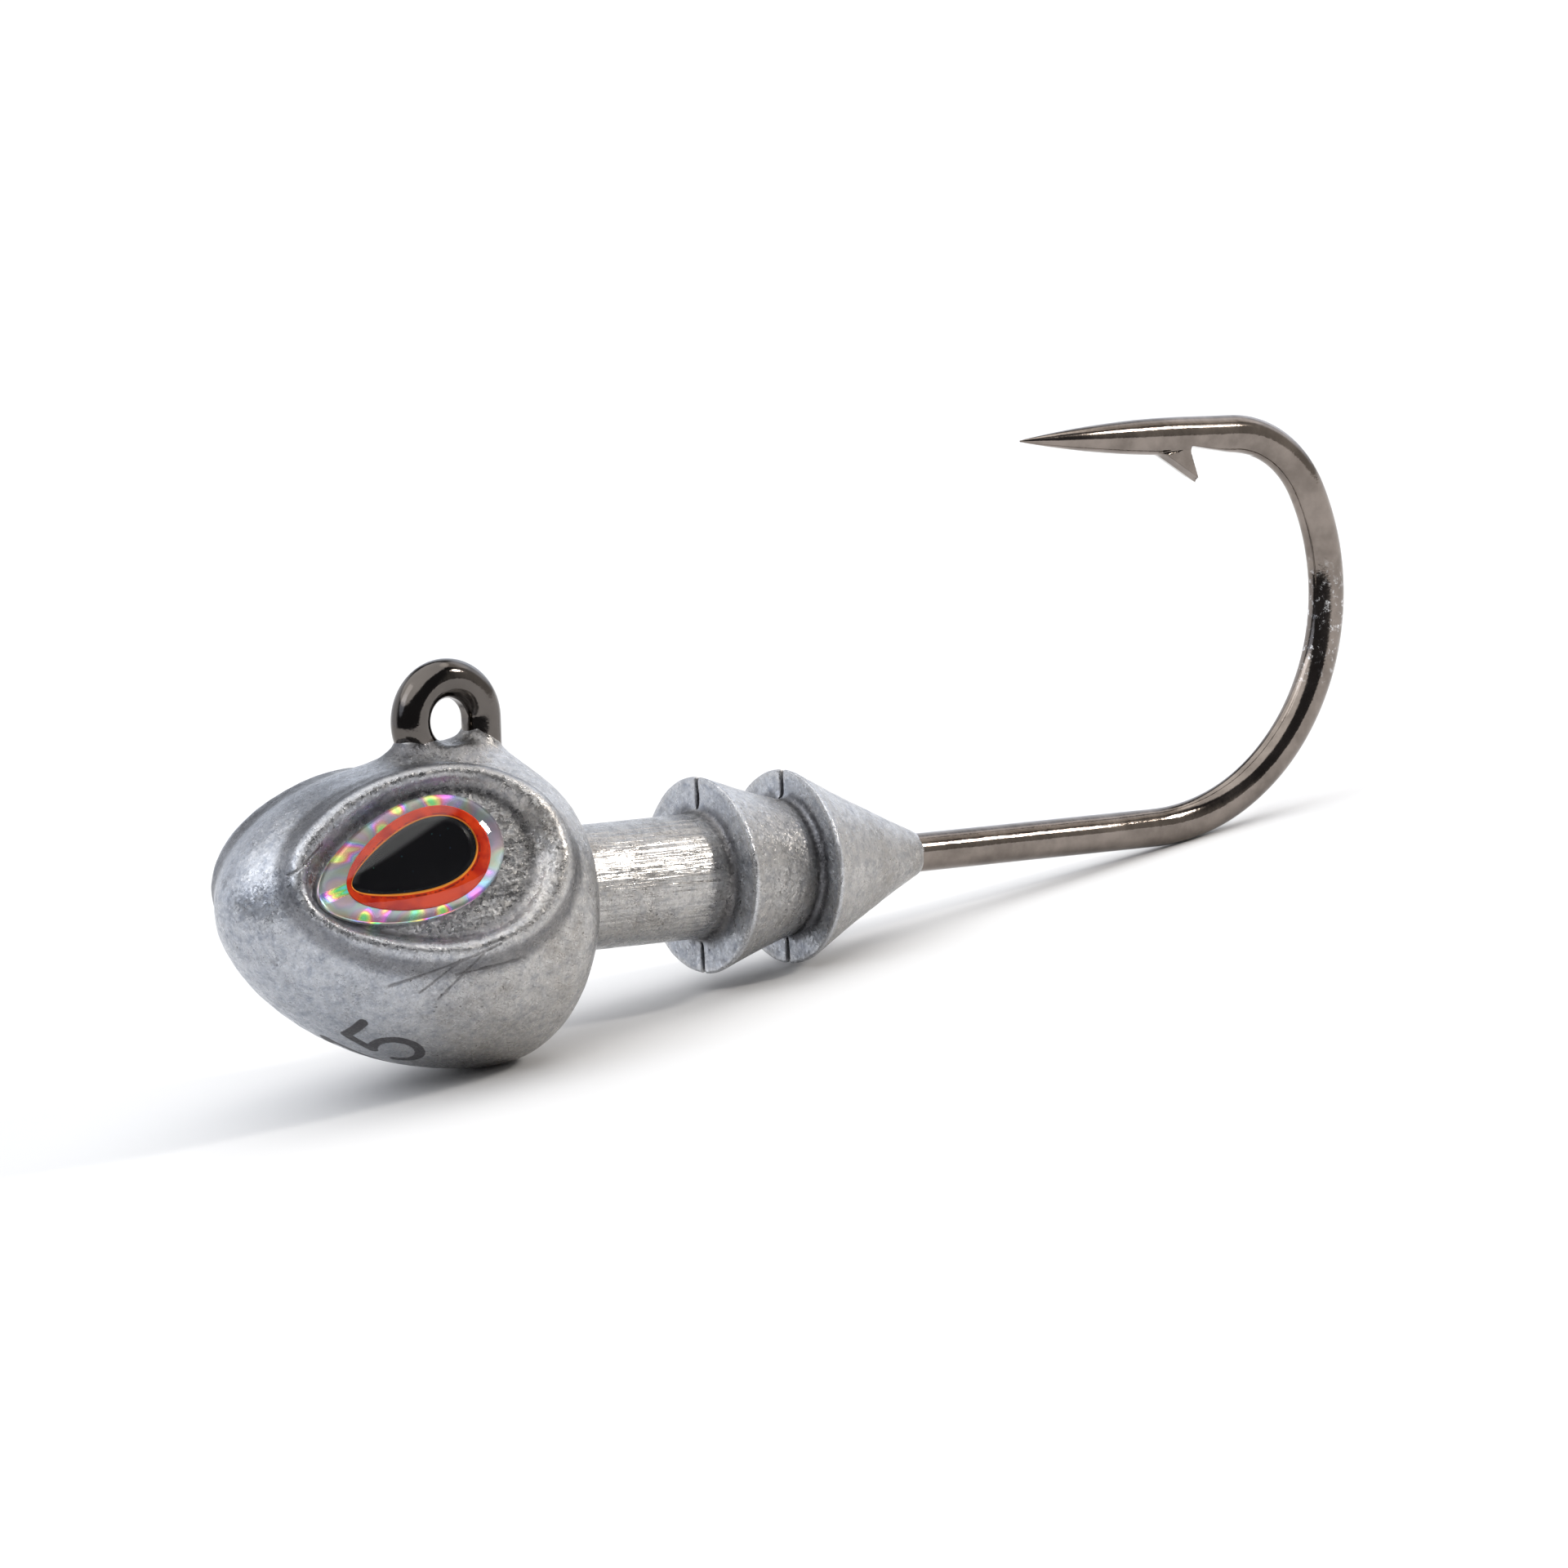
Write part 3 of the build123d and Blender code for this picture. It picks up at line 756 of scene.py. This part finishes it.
def pupil_material():
    """Black ink with a few faint glitter specks."""
    material, tree, shader = new_material("pupil_ink")
    place = place_of(tree)
    specks = spread(tree, cell_pattern(tree, place, 3.0), 0.03, 0.07, 1.0, 0.0)
    glitter = hued(tree, noise(tree, place, 1.1), 0.8, 0.25)
    colour = mix(tree, times(tree, specks, 0.6), (0.004, 0.004, 0.005, 1), glitter)
    tree.links.new(colour, shader.inputs["Base Color"])
    rough = spread(tree, noise(tree, place, 2.0), 0.3, 0.7, 0.12, 0.22)
    tree.links.new(rough, shader.inputs["Roughness"])
    shader.inputs["Specular IOR Level"].default_value = 0.1
    return material


def dome_material():
    """Clear cast resin. Lamps shine straight through it, so the prints under it aren't left in the dark."""
    material, tree, shader = new_material("eye_dome")
    tint = mix(tree, noise(tree, place_of(tree), 0.5), (1.0, 1.0, 1.0, 1), (0.97, 0.985, 0.99, 1))
    tree.links.new(tint, shader.inputs["Base Color"])
    shader.inputs["Transmission Weight"].default_value = 1.0
    shader.inputs["IOR"].default_value = 1.5
    shader.inputs["Roughness"].default_value = 0.0
    shadow = add(tree, "ShaderNodeLightPath").outputs["Is Shadow Ray"]
    clear = add(tree, "ShaderNodeBsdfTransparent").outputs[0]
    both = add(tree, "ShaderNodeMixShader", {0: shadow, 1: shader.outputs[0], 2: clear})
    tree.links.new(both.outputs[0], tree.nodes["Material Output"].inputs["Surface"])
    return material


def glue_material():
    """A milky film of glue."""
    material, tree, shader = new_material("eye_adhesive")
    cloud = noise(tree, place_of(tree), 2.0)
    colour = mix(tree, cloud, (0.62, 0.62, 0.60, 1), (0.80, 0.80, 0.78, 1))
    tree.links.new(colour, shader.inputs["Base Color"])
    tree.links.new(spread(tree, cloud, 0.3, 0.7, 0.35, 0.5), shader.inputs["Roughness"])
    return material


# ---- the lead casting and the wire ---------------------------------------------------------------
def mark_gap(x, y):
    """How far a point is outside the ink of "15": x reads along, y is up, and the digits are 1 high."""
    half = 0.07
    one = line_gap(x, y, (-0.62, -0.5), (-0.62, 0.5))
    flick = line_gap(x, y, (-0.80, 0.30), (-0.62, 0.5))
    roof = line_gap(x, y, (-0.12, 0.5), (0.30, 0.5))
    back = line_gap(x, y, (-0.12, 0.5), (-0.18, 0.06))
    bowl = arc_gap(x, y, (0.03, -0.19), 0.31, radians(-150), radians(285))
    return np.minimum.reduce([one, flick, roof, back, bowl]) - half


points, normals, quads = surface(lead, *lead_box, head_step)
u, v, w = points.T
bulge = bulge_of(points, normals, quads, 24)
bulge /= np.std(bulge) + 1e-9
px, py, ph = pocket_frame(u, v, w)
pocket_wall = egg_gap(px, py, egg_at(ph, hollow_eggs))
rim_wall = egg_gap(px, py, egg_at(ph, rim_eggs))
in_pocket = smooth(pocket_wall, 0.05, -0.20) * smooth(ph, -0.3, -0.1) * smooth(ph, 1.2, 0.9)
hx, hy, hr = head_frame(u, v, w)
round_axis = np.hypot(v, w)

# Painted shade: darker in every corner, round the pocket's floor and the rim's foot, before each barb, at
# the line eye's legs, and over the brow.
valley = smooth(np.abs(rim_wall - 0.10), 0.42, 0.05) * smooth(ph, 0.50, 0.20) * smooth(ph, -0.9, -0.3)
before_first, before_second = barb_faces[0] - 0.24, barb_faces[1] - 0.28
waist = smooth(np.abs(u - before_second), 0.7, 0.1) + smooth(np.abs(u - before_first), 0.5, 0.1)
waist *= smooth(round_axis, 3.6, 2.8)
painted_shade = np.clip(-bulge * 0.35 - 0.25, 0, 0.8) + 0.45 * in_pocket * smooth(pocket_wall, -0.65, -0.25)
painted_shade += 0.72 * valley + 0.40 * waist + 0.50 * smooth(v, 5.0, 6.2)
brow = smooth(hy, 1.8, 4.2) * smooth(hx, 2.0, -1.5) * (1 - in_pocket)
painted_shade += 0.50 * brow * (0.8 + 0.4 * ripple(u, v, w, 3.0, 41))

# Polish and painted highlight on ridges, deep scratches on the left, brushing on the neck and a little in
# pockets.
polish_and_highlight = np.clip(bulge * 0.4 - 0.6, 0, 0.6) * (1 - in_pocket)
gouge = np.full(len(points), 1.0)
for start, end in scratches:
    gouge = np.minimum(gouge, line_gap(u, v, start, end))
gouge += 0.02 * ripple(u, v, w, 0.6, 31)
gouge = smooth(gouge, 0.075, 0.02) * (w < 0)
brushed = np.maximum(on_neck(u), 0.3 * in_pocket)

# Painted cool light: the nose and the barbs' faces are tinted cooler than the rest.
painted_cool_tint = 0.8 * smooth(hx, 1.5, -6.0)
for face in barb_faces:
    on_face = smooth(np.abs(u - face), 0.25, 0.08) * smooth(round_axis, 2.4, 2.6)
    painted_cool_tint = np.maximum(painted_cool_tint, 0.75 * on_face)

# The weight's number, wrapped round the left of the belly with its top towards the nose.
mark_tall, mark_x, mark_round, far_off = 2.9, -3.2, 1.8, 2.0
round_belly = np.arctan2(-w, -hy) * hr
mark = mark_gap((round_belly - mark_round) / mark_tall, (mark_x - hx) / mark_tall) * mark_tall
on_belly = (np.abs(round_belly - mark_round) < 4) & (hy < 0)
mark = np.where(on_belly, np.clip(mark, -1, far_off), far_off)

values = {
    "polish_and_highlight": polish_and_highlight,
    "painted_shade": np.clip(painted_shade, 0, 1),
    "mark": mark,
    "brushed": brushed,
    "gouge": gouge,
    "painted_cool_tint": painted_cool_tint,
}
head_lead = make_piece("head_lead", points, quads, lead_material(), normals, values)
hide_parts("head_casting")

points, normals, quads = surface(wire, *wire_box, wire_step)
u, v, w = points.T
rubbed_u, rubbed_v = 41.0, 7.5
scuff = smooth(np.hypot(u - rubbed_u, v - rubbed_v), 3.0, 1.0)
# Painted shade on the line eye and its legs.
painted_ring_shade = 0.8 * smooth(v, 4.5, 6.5) * smooth(u, 8, 4)
values = {"scuff": scuff, "painted_ring_shade": painted_ring_shade}
hook_wire = make_piece("hook_wire", points, quads, wire_material(), normals, values)
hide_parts("hook")

# ---- the eyes ------------------------------------------------------------------------------------
around, rings = 96, 18


def egg_ring(egg, share=1.0):
    """The points of an egg outline, drawn in by a share, as x and y on the pocket's floor."""
    cx, cy, a, b, lean, turn = egg
    t = np.arange(around) * 2 * pi / around
    p, q = share * a * np.cos(t), share * b * np.sin(t) * (1 + lean * np.cos(t))
    turn = radians(turn)
    return cx + p * cos(turn) - q * sin(turn), cy + p * sin(turn) + q * cos(turn)


def loops_to_piece(name, loops, hand, material, node, values=None, capped=True):
    """A closed piece from loops of points in the pocket's frame, each joined to the next."""
    points = np.concatenate([from_pocket(x, y, h + 0 * x, hand) for x, y, h in loops])
    faces = []
    last = len(loops) - 1
    pairs = [(i, i + 1) for i in range(last)]
    if not capped:
        pairs.append((last, 0))
    for lower, upper in pairs:
        for i in range(around):
            j = (i + 1) % around
            faces.append((lower * around + i, lower * around + j, upper * around + j, upper * around + i))
    if capped:
        faces.append(tuple(reversed(range(around))))
        faces.append(tuple(last * around + i for i in range(around)))
    if hand > 0:
        faces = [tuple(reversed(f)) for f in faces]
    piece = make_piece(name, points, faces, material, None, values)
    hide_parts(node)


materials = {
    "foil": foil_material(),
    "iris": iris_material(),
    "pupil": pupil_material(),
    "dome": dome_material(),
    "glue": glue_material(),
}
half_turns = np.abs(np.arange(around) / around * 2 - 1)
for side, hand in (("left", -1), ("right", 1)):
    # The foil: its side wall, then rings over its top.
    shares = np.linspace(1.0, 0.04, rings)
    loops = [(*egg_ring(eye_egg), foil_low)]
    loops += [(*egg_ring(eye_egg, s), ink_low) for s in shares]
    values = {"edge": np.repeat([1.0, *shares], around), "turn": np.tile(half_turns, len(loops))}
    loops_to_piece(
        f"eye_foil_print_{side}", loops, hand, materials["foil"], f"eye_foil_{side}", values
    )

    # The iris: a flat ring of ink, from its underside over its outer edge to its top.
    inner, outer = egg_ring(pupil_egg), egg_ring(iris_egg)
    shares = np.linspace(1, 0, 9)
    loops = [(*inner, ink_low + print_gap), (*outer, ink_low + print_gap)]
    for s in shares:
        loops.append((inner[0] * (1 - s) + outer[0] * s, inner[1] * (1 - s) + outer[1] * s, dome_low))
    values = {"edge": np.repeat([0.0, 1.0, *shares], around)}
    loops_to_piece(
        f"eye_iris_print_{side}",
        loops,
        hand,
        materials["iris"],
        f"eye_iris_{side}",
        values,
        capped=False,
    )

    # The pupil.
    loops = [(*egg_ring(pupil_egg), ink_low + print_gap)]
    loops += [(*egg_ring(pupil_egg, s), dome_low) for s in np.linspace(1.0, 0.04, 8)]
    loops_to_piece(
        f"eye_pupil_print_{side}", loops, hand, materials["pupil"], f"eye_pupil_{side}"
    )

    # The dome: its underside, its slightly undercut wall, and its crown.
    loops = [(*egg_ring(eye_egg, s), ink_low - dome_sink) for s in (0.05, 0.5, 0.96)]
    wall_part = 0.5
    for a in np.linspace(-wall_part, 1.0, 30)[:-1]:
        turn = a * pi / 2
        if a < 0:
            share = 1 - 0.04 * (1 - cos(turn))
            height = dome_low + dome_foot + (dome_edge - dome_foot) * (1 + a / wall_part)
        else:
            share = cos(turn)
            height = dome_low + dome_edge + dome_crown * sin(turn)
        loops.append((*egg_ring(eye_egg, share), height))
    loops_to_piece(f"eye_lens_{side}", loops, hand, materials["dome"], f"eye_dome_{side}")

    # The glue film stays as the CAD model has it.
    glue = frame["nodes"][f"eye_adhesive_{side}"]
    glue.data.materials.clear()
    glue.data.materials.append(materials["glue"])

# ---- the table, the light and the camera ---------------------------------------------------------
# The table ends a little way in front of the part, so the part's near side reflects the dark beyond it.
floor_size, floor_front, floor_drop = 8.0, 0.115, 0.00002
floor_place = (0, floor_size / 2 - floor_front, table_height - floor_drop)
bpy.ops.mesh.primitive_plane_add(size=floor_size, location=floor_place)
floor = bpy.context.object
floor.name = "floor"
floor_material, tree, shader = new_material("floor")
paper = noise(tree, place_of(tree), 0.02)
paper = mix(tree, paper, (0.86, 0.86, 0.86, 1), (0.88, 0.88, 0.88, 1))
tree.links.new(paper, shader.inputs["Base Color"])
shader.inputs["Roughness"].default_value = 0.9
shader.inputs["Specular IOR Level"].default_value = 0.0
floor.data.materials.append(floor_material)

scene = bpy.context.scene
scene.view_settings.view_transform = "Standard"
world = bpy.data.worlds.new("studio")
scene.world = world
world.use_nodes = True
tree = world.node_tree
way = add(tree, "ShaderNodeTexCoord").outputs["Generated"]
# The studio round the part. Each patch is a direction, the degrees over which it fades out, and its light.
patches = (
    ((-0.15, 0.0, 1.0), 44, 50, (1.46, 1.46, 1.46)),  # the white ceiling
    ((0.70, -0.02, 0.68), 14, 20, (0.75, 0.70, 0.64)),  # a soft box up on the right
    ((-0.35, 0.94, 0.0), 28, 50, (0.95, 0.98, 1.04)),  # the white wall behind
    ((-0.80, 0.10, 0.58), 12, 20, (0.60, 0.68, 0.82)),  # a cool window up on the left
    ((0.93, -0.35, 0.0), 25, 45, (0.42, 0.40, 0.37)),  # a warm wall on the right
    ((0.95, 0.15, 0.45), 15, 26, (0.70, 0.76, 0.88)),  # a window high on the right
    ((0.72, 0.66, 0.22), 10, 34, (1.05, 1.12, 1.24)),  # and one further back
)
light = (0.06, 0.06, 0.065, 1)  # and the dark room behind them
for direction, inner, outer, colour in patches:
    direction = Vector(direction).normalized()
    facing = add(tree, "ShaderNodeVectorMath", {0: way, 1: direction}, operation="DOT_PRODUCT")
    amount = spread(tree, facing.outputs["Value"], cos(radians(outer)), cos(radians(inner)))
    light = mix(tree, amount, light, (*colour, 1), "ADD")
seen = add(tree, "ShaderNodeLightPath").outputs["Is Camera Ray"]
backdrop = mix(tree, seen, light, (1.05, 1.05, 1.05, 1))
tree.links.new(backdrop, tree.nodes["Background"].inputs["Color"])

middle = Vector(to_frame(np.array([12.0, 1.0, 0.0])))  # of the part, for the lamps to face


def lamp(name, direction, distance, width, height, power, colour):
    """A soft lamp that faces the part."""
    data = bpy.data.lights.new(name, "AREA")
    data.shape = "RECTANGLE"
    data.size, data.size_y = width, height
    data.energy, data.color = power, colour
    lamp_object = bpy.data.objects.new(name, data)
    scene.collection.objects.link(lamp_object)
    away = Vector(direction).normalized()
    lamp_object.location = middle + away * distance
    lamp_object.rotation_euler = away.to_track_quat("Z", "Y").to_euler()


lamp("key", (0.66, -0.57, 0.49), 0.90, 0.11, 0.15, 2.7, (1.0, 0.95, 0.89))
lamp("left", (-0.60, 0.10, 0.80), 1.20, 0.60, 0.60, 1.3, (0.98, 0.99, 1.0))

# The camera: round the part from its left, a little above the shank, by the hook's own frame.
view_turn, view_rise, view_roll = radians(35.07), radians(5.15), radians(-2.09)
aim_u, aim_v, view_distance, view_lens = 15.30, 3.16, 397.6, 239.1
ahead = np.array([sin(view_turn) * cos(view_rise), -sin(view_rise), cos(view_turn) * cos(view_rise)])
level = np.array([cos(view_turn), 0, -sin(view_turn)])
above = np.array([sin(view_turn) * sin(view_rise), cos(view_rise), cos(view_turn) * sin(view_rise)])
camera_right = cos(view_roll) * level + sin(view_roll) * above
camera_up = cos(view_roll) * above - sin(view_roll) * level
camera_data = bpy.data.cameras.new("camera")
camera_data.lens, camera_data.sensor_width = view_lens, 36.0
camera_data.clip_start, camera_data.clip_end = 0.01, 20.0
camera = bpy.data.objects.new("camera", camera_data)
scene.collection.objects.link(camera)
turned = Matrix([Vector(turn_to_frame(a)) for a in (camera_right, camera_up, -ahead)]).transposed()
stand = to_frame(np.array([aim_u, aim_v, 0]) - view_distance * ahead)
camera.matrix_world = Matrix.Translation(stand) @ turned.to_4x4()
scene.camera = camera
